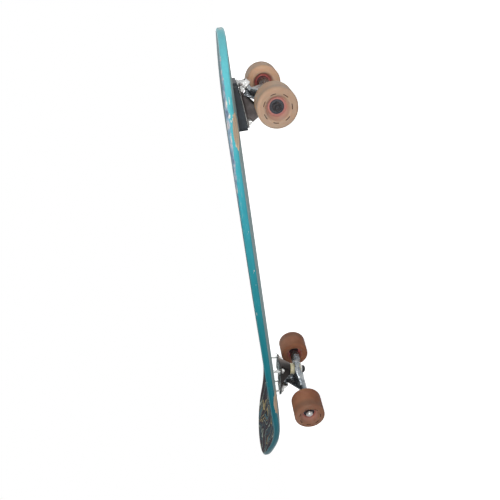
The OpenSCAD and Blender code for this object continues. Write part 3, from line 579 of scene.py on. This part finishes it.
# The flange's ends are drawn in by three tenths of what lies past 31 mm from the middle
flange_start, draw_in = 0.031, 0.3
for end, truck in trucks.items():
    plate = cast_copy(f"{end}_base_plate", f"{end}_plate_casting", voxel=0.0008, rounds=5)
    home = truck.inverted()
    for v in plate.data.vertices:
        spot = home @ v.co
        spot.x -= math.copysign(draw_in * max(abs(spot.x) - flange_start, 0), spot.x)
        v.co = truck @ spot
    pivot = pivot_frame(truck).inverted()
    note(plate, "depth", [-(home @ v.co).z for v in plate.data.vertices])
    note(plate, "pivot_room", [(pivot @ v.co).xy.length for v in plate.data.vertices])
    dress(plate, [cast_grey])
    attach(plate, "board")
    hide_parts(f"{end}_base_plate")


# Pivot cups and bushings. Cast urethane: the cups line the base plates' sockets, and the hanger's nose turns
# in them; the bushings sit round the kingpin above and below the ring, bulged a little by the nut.
def mottled(name, settings, noise, stops, bump=None, edge=None):
    """A finish that drifts between colours with one noise; bump is its strength and depth in that noise,
    and edge the radius that softens the corners."""
    finish, tree, shader, place = new_finish(name, settings)
    drift = add(tree, "TexNoise", noise, {"Vector": place})
    join(tree, shader, {"Base Color": add(tree, "ValToRGB", {"stops": stops}, {"Fac": drift})})
    if bump:
        relief = add(tree, "Bump", {"Strength": bump[0], "Distance": bump[1]}, {"Height": drift})
        join(tree, shader, {"Normal": relief})
    if edge:
        join(tree, relief, {"Normal": add(tree, "Bevel", {"samples": 4, "Radius": edge})})
    return finish


# Cast cream urethane: waxy, and light goes a few millimetres into it
urethane = mottled("cast_cream_urethane", {
    "Roughness": 0.38, "IOR": 1.5, "Subsurface Weight": 0.25, "Subsurface Radius": (0.004, 0.003, 0.0015),
    "Subsurface Scale": 1.0}, {"Scale": 130, "Detail": 3},
    [(0.3, "#d3c8a0"), (0.5, "#e3d9b6"), (0.7, "#eee6c9")], (0.08, 0.0002))

# Grimy cast urethane: the same stuff, dull and brown with road dirt
grimy = mottled("grimy_cast_urethane", {"Roughness": 0.6, "IOR": 1.5, "Specular IOR Level": 0.2},
                {"Scale": 220, "Detail": 4}, [(0.3, "#3b3730"), (0.7, "#6c6350")])

moulded_angle = 40
nose_r, cup_depth = 0.00556, 0.0040
for end, truck in trucks.items():
    # The cup's section as (radius, height): the domed bore from its mouth, then the outside from its vent
    bore = [(nose_r, -cup_depth)]
    bore += [(nose_r * math.cos(a), nose_r * math.sin(a)) for a in np.radians(np.linspace(0, 84, 9))]
    shell = [(0.0004, nose_r), (0.0004, 0.00704), (0.0068, 0.00704), (0.00753, 0.0064),
             (0.00753, -0.0034), (0.0070, -cup_depth)]
    cup = to_mesh(f"{end}_moulded_cup", *lathed([(bore + shell, pivot_frame(truck))], steps=48))
    dress(cup, [grimy], moulded_angle)
    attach(cup, "board")
    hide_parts(f"{end}_pivot_cup")


def bushing_profile(top, height, wide, narrow):
    """The outside from the top down, with moulded lips and a belly, and then the bore."""
    bulge, lip_r, bore_r = 0.0003, 0.0007, 0.0048
    outside = []
    for t in np.linspace(0, 1, 17):
        radius = wide + (narrow - wide) * t + bulge * math.sin(math.pi * t)
        lip = lip_r * (max(0, 1 - t * 10) ** 2 + max(0, 1 - (1 - t) * 10) ** 2)
        outside.append((radius - lip, top - height * t))
    return outside + [(bore_r, top - height), (bore_r, top)]


# Each bushing's side, shape, top, height, two radii, and where along the kingpin it is held and moved
bushings = (("board", "barrel", -0.00002, 0.00996, 0.0117, 0.0113, 0, -0.008),
            ("road", "cone", -0.01502, 0.00896, 0.0112, 0.0094, -0.024, -0.015))
for end, truck in trucks.items():
    seat = seat_frame(truck)
    for node, shape, top, height, wide, narrow, fixed, moving in bushings:
        profile = bushing_profile(top, height, wide, narrow)
        piece = to_mesh(f"{end}_{shape}_bushing", *lathed([(profile, seat)]))
        dress(piece, [urethane], moulded_angle)
        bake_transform(piece)
        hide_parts(f"{end}_{node}_bushing")

# Kingpins, cup washers, nuts and bolts. Turned and rolled steel, zinc plated, bright with a few rubbed
# spots of 4 mm; the kingpin's lock nut is oiled black, satin, with a few reddish-brown patches.
zinc = mottled("zinc_plated_steel", {"Metallic": 1.0, "Roughness": 0.3},
               {"Scale": 260, "Detail": 5, "Roughness": 0.6},
               [(0.3, "#9a9a98"), (0.5, "#bcbcba"), (0.7, "#d8d8d6")], (0.1, 0.0001), 0.0003)
oiled = mottled("oiled_black_steel", {"Metallic": 0.8, "Roughness": 0.42},
                {"Scale": 320, "Detail": 5, "Roughness": 0.6},
                [(0.45, "#2e2e31"), (0.58, "#3e3c3e"), (0.72, "#5a423d")], (0.15, 0.0001), 0.0004)
for end in trucks:
    for part in ("kingpin", "cup_washer", "deck_bolts", "deck_nuts"):
        clad(f"{end}_{part}", zinc)
    clad(f"{end}_kingpin_nut", oiled)

# Hangers. Aluminium castings, polished bright: the ring sits on the bushings, the wings carry the axle,
# and the arm ends in the pivot nose. The metal's colour is uneven in 9 mm blue-grey clouds, a painted
# reflection, with 4 mm dimples from the sand.
bright, tree, shader, place = new_finish("polished_cast_aluminium", {"Metallic": 0.85})
# Painted reflection: blue-grey clouds in the metal's colour
swirl = add(tree, "TexNoise", {"Scale": 110, "Detail": 5, "Distortion": 0.6}, {"Vector": place})
metal = add(tree, "ValToRGB", {"stops": [
    (0.34, "#6b7176"), (0.44, "#787e83"), (0.52, "#868b8f"), (0.66, "#a0a3a4")]}, {"Fac": swirl})
dull = add(tree, "MapRange", {"span": (0.3, 0.7, 0.18, 0.3)}, {"Value": swirl})
pit = add(tree, "TexNoise", {"Scale": 230, "Detail": 3, "Roughness": 0.55}, {"Vector": place})
relief = add(tree, "Bump", {"Strength": 0.7, "Distance": 0.0018}, {"Height": pit})
join(tree, shader, {"Base Color": metal, "Roughness": dull, "Normal": relief})

# The gusset's outline as (height, place along the steering axis), and each collar's radii and places
gusset_t = 0.009
gusset = [(0.004, -0.0075), (0.0132, -0.009), (0.0098, -0.018), (0.0052, -0.027), (-0.003, -0.030)]
collar = ((0.0084, 0.046), (0.0107, 0.062), (0.0107, 0.0795))
axle_x = {"front": front_axle_x, "rear": rear_axle_x}
for end, truck in trucks.items():
    ribs = [[pivot_frame(truck) @ Vector((side * gusset_t / 2, height, along))
             for height, along in gusset for side in (-1, 1)]]
    for side in (-1, 1):
        ribs.append([Vector((axle_x[end] + r * math.cos(a), side * y, wheel_r + r * math.sin(a)))
                     for r, y in collar for a in np.linspace(0, 2 * math.pi, 32, endpoint=False)])
    hanger = cast_copy(f"{end}_hanger", f"{end}_hanger_casting", voxel=0.0009, rounds=5, ribs=ribs)
    dress(hanger, [bright])
    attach(hanger, f"{end}_truck")
    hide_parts(f"{end}_hanger")

# Axles, axle nuts and speed washers. An 8 mm steel rod runs through each hanger. Its rolled threads and
# the kingpin's are one ridge that winds round the end of the rod.
for end in trucks:
    clad(f"{end}_spacers", zinc)
    clad(f"{end}_speed_washers", oiled)
# Painted reflection and glint: the front axle and nuts are dark oiled steel, the rear ones bright zinc
for part in ("axle", "axle_nuts"):
    clad(f"front_{part}", oiled)
    clad(f"rear_{part}", zinc)


def thread_tree(name, finish, sizes):
    """Winds a ridge round every end, along its facing, with one named input for each of the sizes."""
    tree = bpy.data.node_groups.new(name, "GeometryNodeTree")
    tree.interface.new_socket("Ends", in_out="INPUT", socket_type="NodeSocketGeometry")
    for label in sizes:
        tree.interface.new_socket(label, in_out="INPUT", socket_type="NodeSocketFloat")
    tree.interface.new_socket("Threads", in_out="OUTPUT", socket_type="NodeSocketGeometry")
    given = add(tree, "NodeGroupInput")
    turns = add(tree, "Math", {"operation": "DIVIDE"}, {0: (given, "Length"), 1: (given, "Pitch")})
    helix = add(tree, "GeometryNodeCurveSpiral", {"Resolution": 28}, {
        "Rotations": turns, "Start Radius": (given, "Radius"), "End Radius": (given, "Radius"),
        "Height": (given, "Length")})
    ridge = add(tree, "GeometryNodeCurvePrimitiveCircle", {"Resolution": 4}, {"Radius": (given, "Depth")})
    swept = add(tree, "GeometryNodeCurveToMesh", {"Fill Caps": True},
                {"Curve": helix, "Profile Curve": ridge})
    aim = add(tree, "GeometryNodeInputNamedAttribute", {"data_type": "FLOAT_VECTOR", "Name": "facing"})
    turned = add(tree, "FunctionNodeAlignRotationToVector", {"axis": "Z"}, {"Vector": aim})
    placed = add(tree, "GeometryNodeInstanceOnPoints", None, {
        "Points": (given, "Ends"), "Instance": swept, "Rotation": turned})
    real = add(tree, "GeometryNodeRealizeInstances", None, {"Geometry": placed})
    clad_in = add(tree, "GeometryNodeSetMaterial", {"Material": finish}, {"Geometry": real})
    add(tree, "NodeGroupOutput", None, {"Threads": clad_in})
    return tree


def wound(name, ends, finish, sizes, body):
    """Threads at ends, a list of (start, facing); sizes are the ridge's Radius, Pitch, Length and Depth."""
    piece = to_mesh(name, [start for start, facing in ends], [])
    facings = np.array([facing for start, facing in ends], np.float32).ravel()
    piece.data.attributes.new("facing", "FLOAT_VECTOR", "POINT").data.foreach_set("vector", facings)
    maker = piece.modifiers.new("threads", "NODES")
    maker.node_group = thread_tree(name + "_maker", finish, sizes)
    for item in maker.node_group.interface.items_tree:
        if item.name in sizes:
            maker[item.identifier] = sizes[item.name]
    applied(piece)
    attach(piece, body)


kingpin_end, bolt_end, axle_end = -0.0324, -0.0081, 0.1153
kingpin_ends, bolt_ends = [], []
for truck in trucks.values():
    seat = seat_frame(truck)
    kingpin_ends.append((seat @ Vector((0, 0, kingpin_end)), seat.to_3x3() @ Vector((0, 0, -1))))
    for x, y in bolt_places:
        bolt_ends.append((truck @ Vector((x, y, bolt_end)), truck.to_3x3() @ Vector((0, 0, -1))))
wound("kingpin_threads", kingpin_ends, zinc,
      {"Radius": 0.00458, "Pitch": 0.00106, "Length": 0.0008, "Depth": 0.00022}, "board")
wound("bolt_threads", bolt_ends, zinc,
      {"Radius": 0.00226, "Pitch": 0.0008, "Length": 0.0013, "Depth": 0.00016}, "board")
for end, x in axle_x.items():
    axle_ends = [((x, side * axle_end, wheel_r), (0, side, 0)) for side in (1, -1)]
    wound(f"{end}_axle_threads", axle_ends, zinc,
          {"Radius": 0.00382, "Pitch": 0.00106, "Length": 0.0007, "Depth": 0.0002}, f"{end}_truck")

# Ball bearings. Ground steel rings and balls, mirror smooth; cages and rubber-faced shields, satin black.
# The outer rings are blackened, as the wheel faces show no bright ring.
ground = mottled("ground_bearing_steel", {"Metallic": 1.0, "Roughness": 0.14}, {"Scale": 500, "Detail": 2},
                 [(0.3, "#b4b6b8"), (0.7, "#d4d5d6")])
black_ring = mottled("blackened_bearing_steel", {"Metallic": 0.6, "Roughness": 0.35},
                     {"Scale": 400, "Detail": 3}, [(0.3, "#26282e"), (0.7, "#3b3d45")])
seal = mottled("black_rubber_shield", {"Roughness": 0.45, "IOR": 1.5}, {"Scale": 800, "Detail": 3},
               [(0.3, "#292b31"), (0.7, "#3c3f46")], (0.1, 0.0001))

# Wheel cores. Red nylon, injection moulded, with the bearings pushed in from both sides. It is glossy, and
# dust has dulled its outer ends.
red_nylon, tree, shader, place = new_finish("moulded_red_nylon", {"Roughness": 0.3, "IOR": 1.53})
mottle = add(tree, "TexNoise", {"Scale": 200, "Detail": 3}, {"Vector": place})
red = add(tree, "ValToRGB", {"stops": [(0.3, "#a64e48"), (0.7, "#c25d56")]}, {"Fac": mottle})
spot = add(tree, "SeparateXYZ", None, {"Vector": place})
across = add(tree, "Math", {"operation": "ABSOLUTE"}, {0: (spot, "Y")})
dusty = add(tree, "MapRange", {"span": (0.09, 0.105, 0, 0.55)}, {"Value": across})
powdered = add(tree, "Mix", {"data_type": "RGBA", 7: linear("#9c786e")}, {0: dusty, 6: red})
relief = add(tree, "Bump", {"Strength": 0.06, "Distance": 0.0002}, {"Height": mottle})
join(tree, shader, {"Base Color": powdered, "Normal": relief})

# Tyres. Amber urethane cast round the core: cloudy and see-through, with the red core's glow round the
# bearing painted on. A ring of short printed dashes runs round each outer face, and the tread is scuffed
# dull.
amber, tree, shader, place = new_finish("cast_amber_urethane", {
    "Roughness": 0.6, "IOR": 1.5, "Specular IOR Level": 0.12, "Subsurface Weight": 0.85,
    "Subsurface Radius": (0.014, 0.010, 0.007), "Subsurface Scale": 1.0})
spot = add(tree, "SeparateXYZ", None, {"Vector": place})
across = add(tree, "Math", {"operation": "ABSOLUTE"}, {0: (spot, "Y")})

# Distance from the wheel's own axle, whichever wheel it is
middle_x, half_base = (front_axle_x + rear_axle_x) / 2, (front_axle_x - rear_axle_x) / 2
along = add(tree, "Math", {"operation": "SUBTRACT", 1: middle_x}, {0: (spot, "X")})
along = add(tree, "Math", {"operation": "ABSOLUTE"}, {0: along})
along = add(tree, "Math", {"operation": "SUBTRACT", 1: half_base}, {0: along})
height = add(tree, "Math", {"operation": "SUBTRACT", 1: wheel_r}, {0: (spot, "Z")})
flat_spot = add(tree, "CombineXYZ", None, {"X": along, "Y": height})
radius = add(tree, "VectorMath", {"operation": "LENGTH"}, {0: flat_spot})

# Tan in 26 mm clouds; the front wheels are painted paler and the rear ones browner, as painted light and
# shade, and the outer faces are painted darker as painted shade, most of all behind
cloud = add(tree, "TexNoise", {"Scale": 38, "Detail": 4}, {"Vector": place})
front_lit_tan = add(tree, "ValToRGB", {"stops": [(0.3, "#af8e74"), (0.5, "#be9c82"), (0.7, "#c9a98f")]},
               {"Fac": cloud})
rear_shaded_tan = add(tree, "ValToRGB", {"stops": [(0.3, "#a06b51"), (0.5, "#ad775c"), (0.7, "#b98368")]},
               {"Fac": cloud})
rear = add(tree, "Math", {"operation": "LESS_THAN", 1: 0.0}, {0: (spot, "X")})
tan = add(tree, "Mix", {"data_type": "RGBA"}, {0: rear, 6: front_lit_tan, 7: rear_shaded_tan})
outer_face = add(tree, "MapRange", {"span": (0.100, 0.110, 0, 1)}, {"Value": across})
# Painted shade on the outer faces, darker on the rear wheels
painted_face_shade_mask = add(tree, "MapRange", {"span": (0.3, 0.7, 0.3, 0.6)}, {"Value": cloud})
painted_face_shade_mask = add(tree, "Math", {"operation": "MULTIPLY"}, {0: painted_face_shade_mask, 1: outer_face})
dust = add(tree, "Mix", {"data_type": "RGBA", 6: linear("#91857a"), 7: linear("#75665b")}, {0: rear})
tan = add(tree, "Mix", {"data_type": "RGBA"}, {0: painted_face_shade_mask, 6: tan, 7: dust})
# Painted light: the front wheels' inner faces are painted paler where little light reaches them
painted_light_inner_face = add(tree, "MapRange", {"span": (0.071, 0.077, 0.52, 0)}, {"Value": across})
front = add(tree, "Math", {"operation": "GREATER_THAN", 1: 0.0}, {0: (spot, "X")})
painted_light_inner_face = add(tree, "Math", {"operation": "MULTIPLY"}, {0: front, 1: painted_light_inner_face})

# The core's glow, painted on: a wide pale blush, which also paints light into the dish's shaded slope,
# and a narrow red ring, which reaches less far on the outer face
painted_blush_mask = add(tree, "MapRange", {"interpolation_type": "SMOOTHSTEP", "span": (0.0130, 0.0195, 0.75, 0)},
                 {"Value": radius})
reach = add(tree, "MapRange", {"span": (0.085, 0.105, 0.0190, 0.0150)}, {"Value": across})
strength = add(tree, "MapRange", {"span": (0.085, 0.105, 0.9, 0.6)}, {"Value": across})
glow_mask = add(tree, "MapRange", {"interpolation_type": "SMOOTHSTEP", "span": (0.0122, 0, 0, 0)},
                {"Value": radius, 2: reach, 3: strength})

# Seven dashes of dark print round the outer face, 42 mm across and 1.2 mm wide
dashes, print_r, print_half = 7, 0.0211, 0.0006
angle = add(tree, "Math", {"operation": "ARCTAN2"}, {0: height, 1: along})
dash = add(tree, "Math", {"operation": "MULTIPLY", 1: dashes}, {0: angle})
dash = add(tree, "Math", {"operation": "SINE"}, {0: dash})
dash = add(tree, "MapRange", {"span": (0.15, 0.2, 0, 1)}, {"Value": dash})
band = add(tree, "Math", {"operation": "COMPARE", 1: print_r, 2: print_half}, {0: radius})
band = add(tree, "Math", {"operation": "MULTIPLY"}, {0: band, 1: outer_face})
ink = add(tree, "Math", {"operation": "MULTIPLY"}, {0: dash, 1: band})
for mask, colour in ((painted_light_inner_face, "#eec4a6"), (painted_blush_mask, "#dca291"),
                     (glow_mask, "#c7544d"), (ink, "#2c1714")):
    tan = add(tree, "Mix", {"data_type": "RGBA", 7: linear(colour)}, {0: mask, 6: tan})
scuff = add(tree, "TexNoise", {"Scale": 420, "Detail": 4}, {"Vector": place})
relief = add(tree, "Bump", {"Strength": 0.12, "Distance": 0.0002}, {"Height": scuff})
join(tree, shader, {"Base Color": tan, "Normal": relief})
for end in trucks:
    clad(f"{end}_inner_rings", ground)
    for side in ("left", "right"):
        for part, finish in (("outer_rings", black_ring), ("balls", ground), ("cages", black_ring),
                             ("shields", seal), ("core", red_nylon), ("tyre", amber)):
            clad(f"{end}_{side}_{part}", finish)


# Studio. A pale floor that keeps the board's shadow, an even white surround, and a lamp close to the nose,
# so that the light dies away toward the tail. A grey flag that only reflections see is behind the camera.
def seen_directly(tree):
    """1 for the rays that see the studio, straight, mirrored or through glass, and 0 for its light."""
    ray = add(tree, "LightPath")
    seen = add(tree, "Math", {"operation": "MAXIMUM"}, {0: (ray, "Is Camera Ray"), 1: (ray, "Is Glossy Ray")})
    return add(tree, "Math", {"operation": "MAXIMUM"}, {0: seen, 1: (ray, "Is Transmission Ray")})


floor_corners = [(-6, -6, 0), (6, -6, 0), (6, 6, 0), (-6, 6, 0)]
floor = to_mesh("studio_floor", floor_corners, [(0, 1, 2, 3)])

# Matt floor paint: pure white wherever it is seen, but for the board's shadow
pale, tree, shader, place = new_finish("pale_floor", {
    "Base Color": linear("#e4e4e4"), "Roughness": 0.9, "Emission Color": (1, 1, 1, 1)})
seen = add(tree, "Math", {"operation": "MULTIPLY", 1: 0.93}, {0: seen_directly(tree)})
join(tree, shader, {"Emission Strength": seen})
floor.data.materials.append(pale)

flag_y, flag_corners = -2.1, ((-4.5, -0.8), (0.95, -0.8), (0.95, 2.2), (-4.5, 2.2))
flag = to_mesh("black_flag", [(x, flag_y, z) for x, z in flag_corners], [(0, 1, 2, 3)])

# Grey card: flat and matt, so that it gives the bright metal its darker tones
card, tree, shader, place = new_finish("grey_card", {"Base Color": linear("#85888c"), "Roughness": 1.0})
flag.data.materials.append(card)
for rays in ("camera", "diffuse", "transmission", "shadow"):
    setattr(flag, "visible_" + rays, False)

world = bpy.data.worlds.new("studio")
scene.world = world
world.use_nodes = True
tree = world.node_tree
tree.nodes.clear()
strength = add(tree, "MapRange", {"span": (0, 1, 0.45, 1)}, {"Value": seen_directly(tree)})
surround = add(tree, "Background", {"Color": (1, 1, 1, 1)}, {"Strength": strength})
add(tree, "OutputWorld", None, {"Surface": surround})


def lamp(name, spot, target, size, power):
    light = bpy.data.lights.new(name, "AREA")
    light.shape = "DISK"
    light.size = size
    light.energy = power
    holder = bpy.data.objects.new(name, light)
    holder.location = spot
    holder.rotation_euler = (Vector(target) - Vector(spot)).to_track_quat("-Z", "Y").to_euler()
    scene.collection.objects.link(holder)


lamp("key_lamp", (0.55, -0.92, 0.22), (0.3, -0.05, 0.07), size=0.4, power=5)
lamp("spark_lamp", (1.25, -1.9, 0.45), (0.2, 0, 0.07), size=0.22, power=3)
lamp("far_lamp", (0.3, 1.9, 1.0), (0.0, 0, 0.07), size=0.9, power=4)

# Camera. The photograph was taken from beside the nose, level with the deck, with the board standing
# on its tail, so the camera is rolled onto its side.
eye, aim, roll = Vector((0.5356, -0.88036, 0.11154)), Vector((0.060246, 0, 0.098553)), math.radians(-98.8645)
camera = bpy.data.objects.new("photo_camera", bpy.data.cameras.new("photo_camera"))
camera.data.lens = 37.817
camera.data.sensor_width = 36
camera.data.clip_start = 0.01
turn = (aim - eye).to_track_quat("-Z", "Y").to_matrix() @ Matrix.Rotation(roll, 3, "Z")
camera.matrix_world = Matrix.Translation(eye) @ turn.to_4x4()
scene.collection.objects.link(camera)
scene.camera = camera
scene.view_settings.view_transform = "Standard"
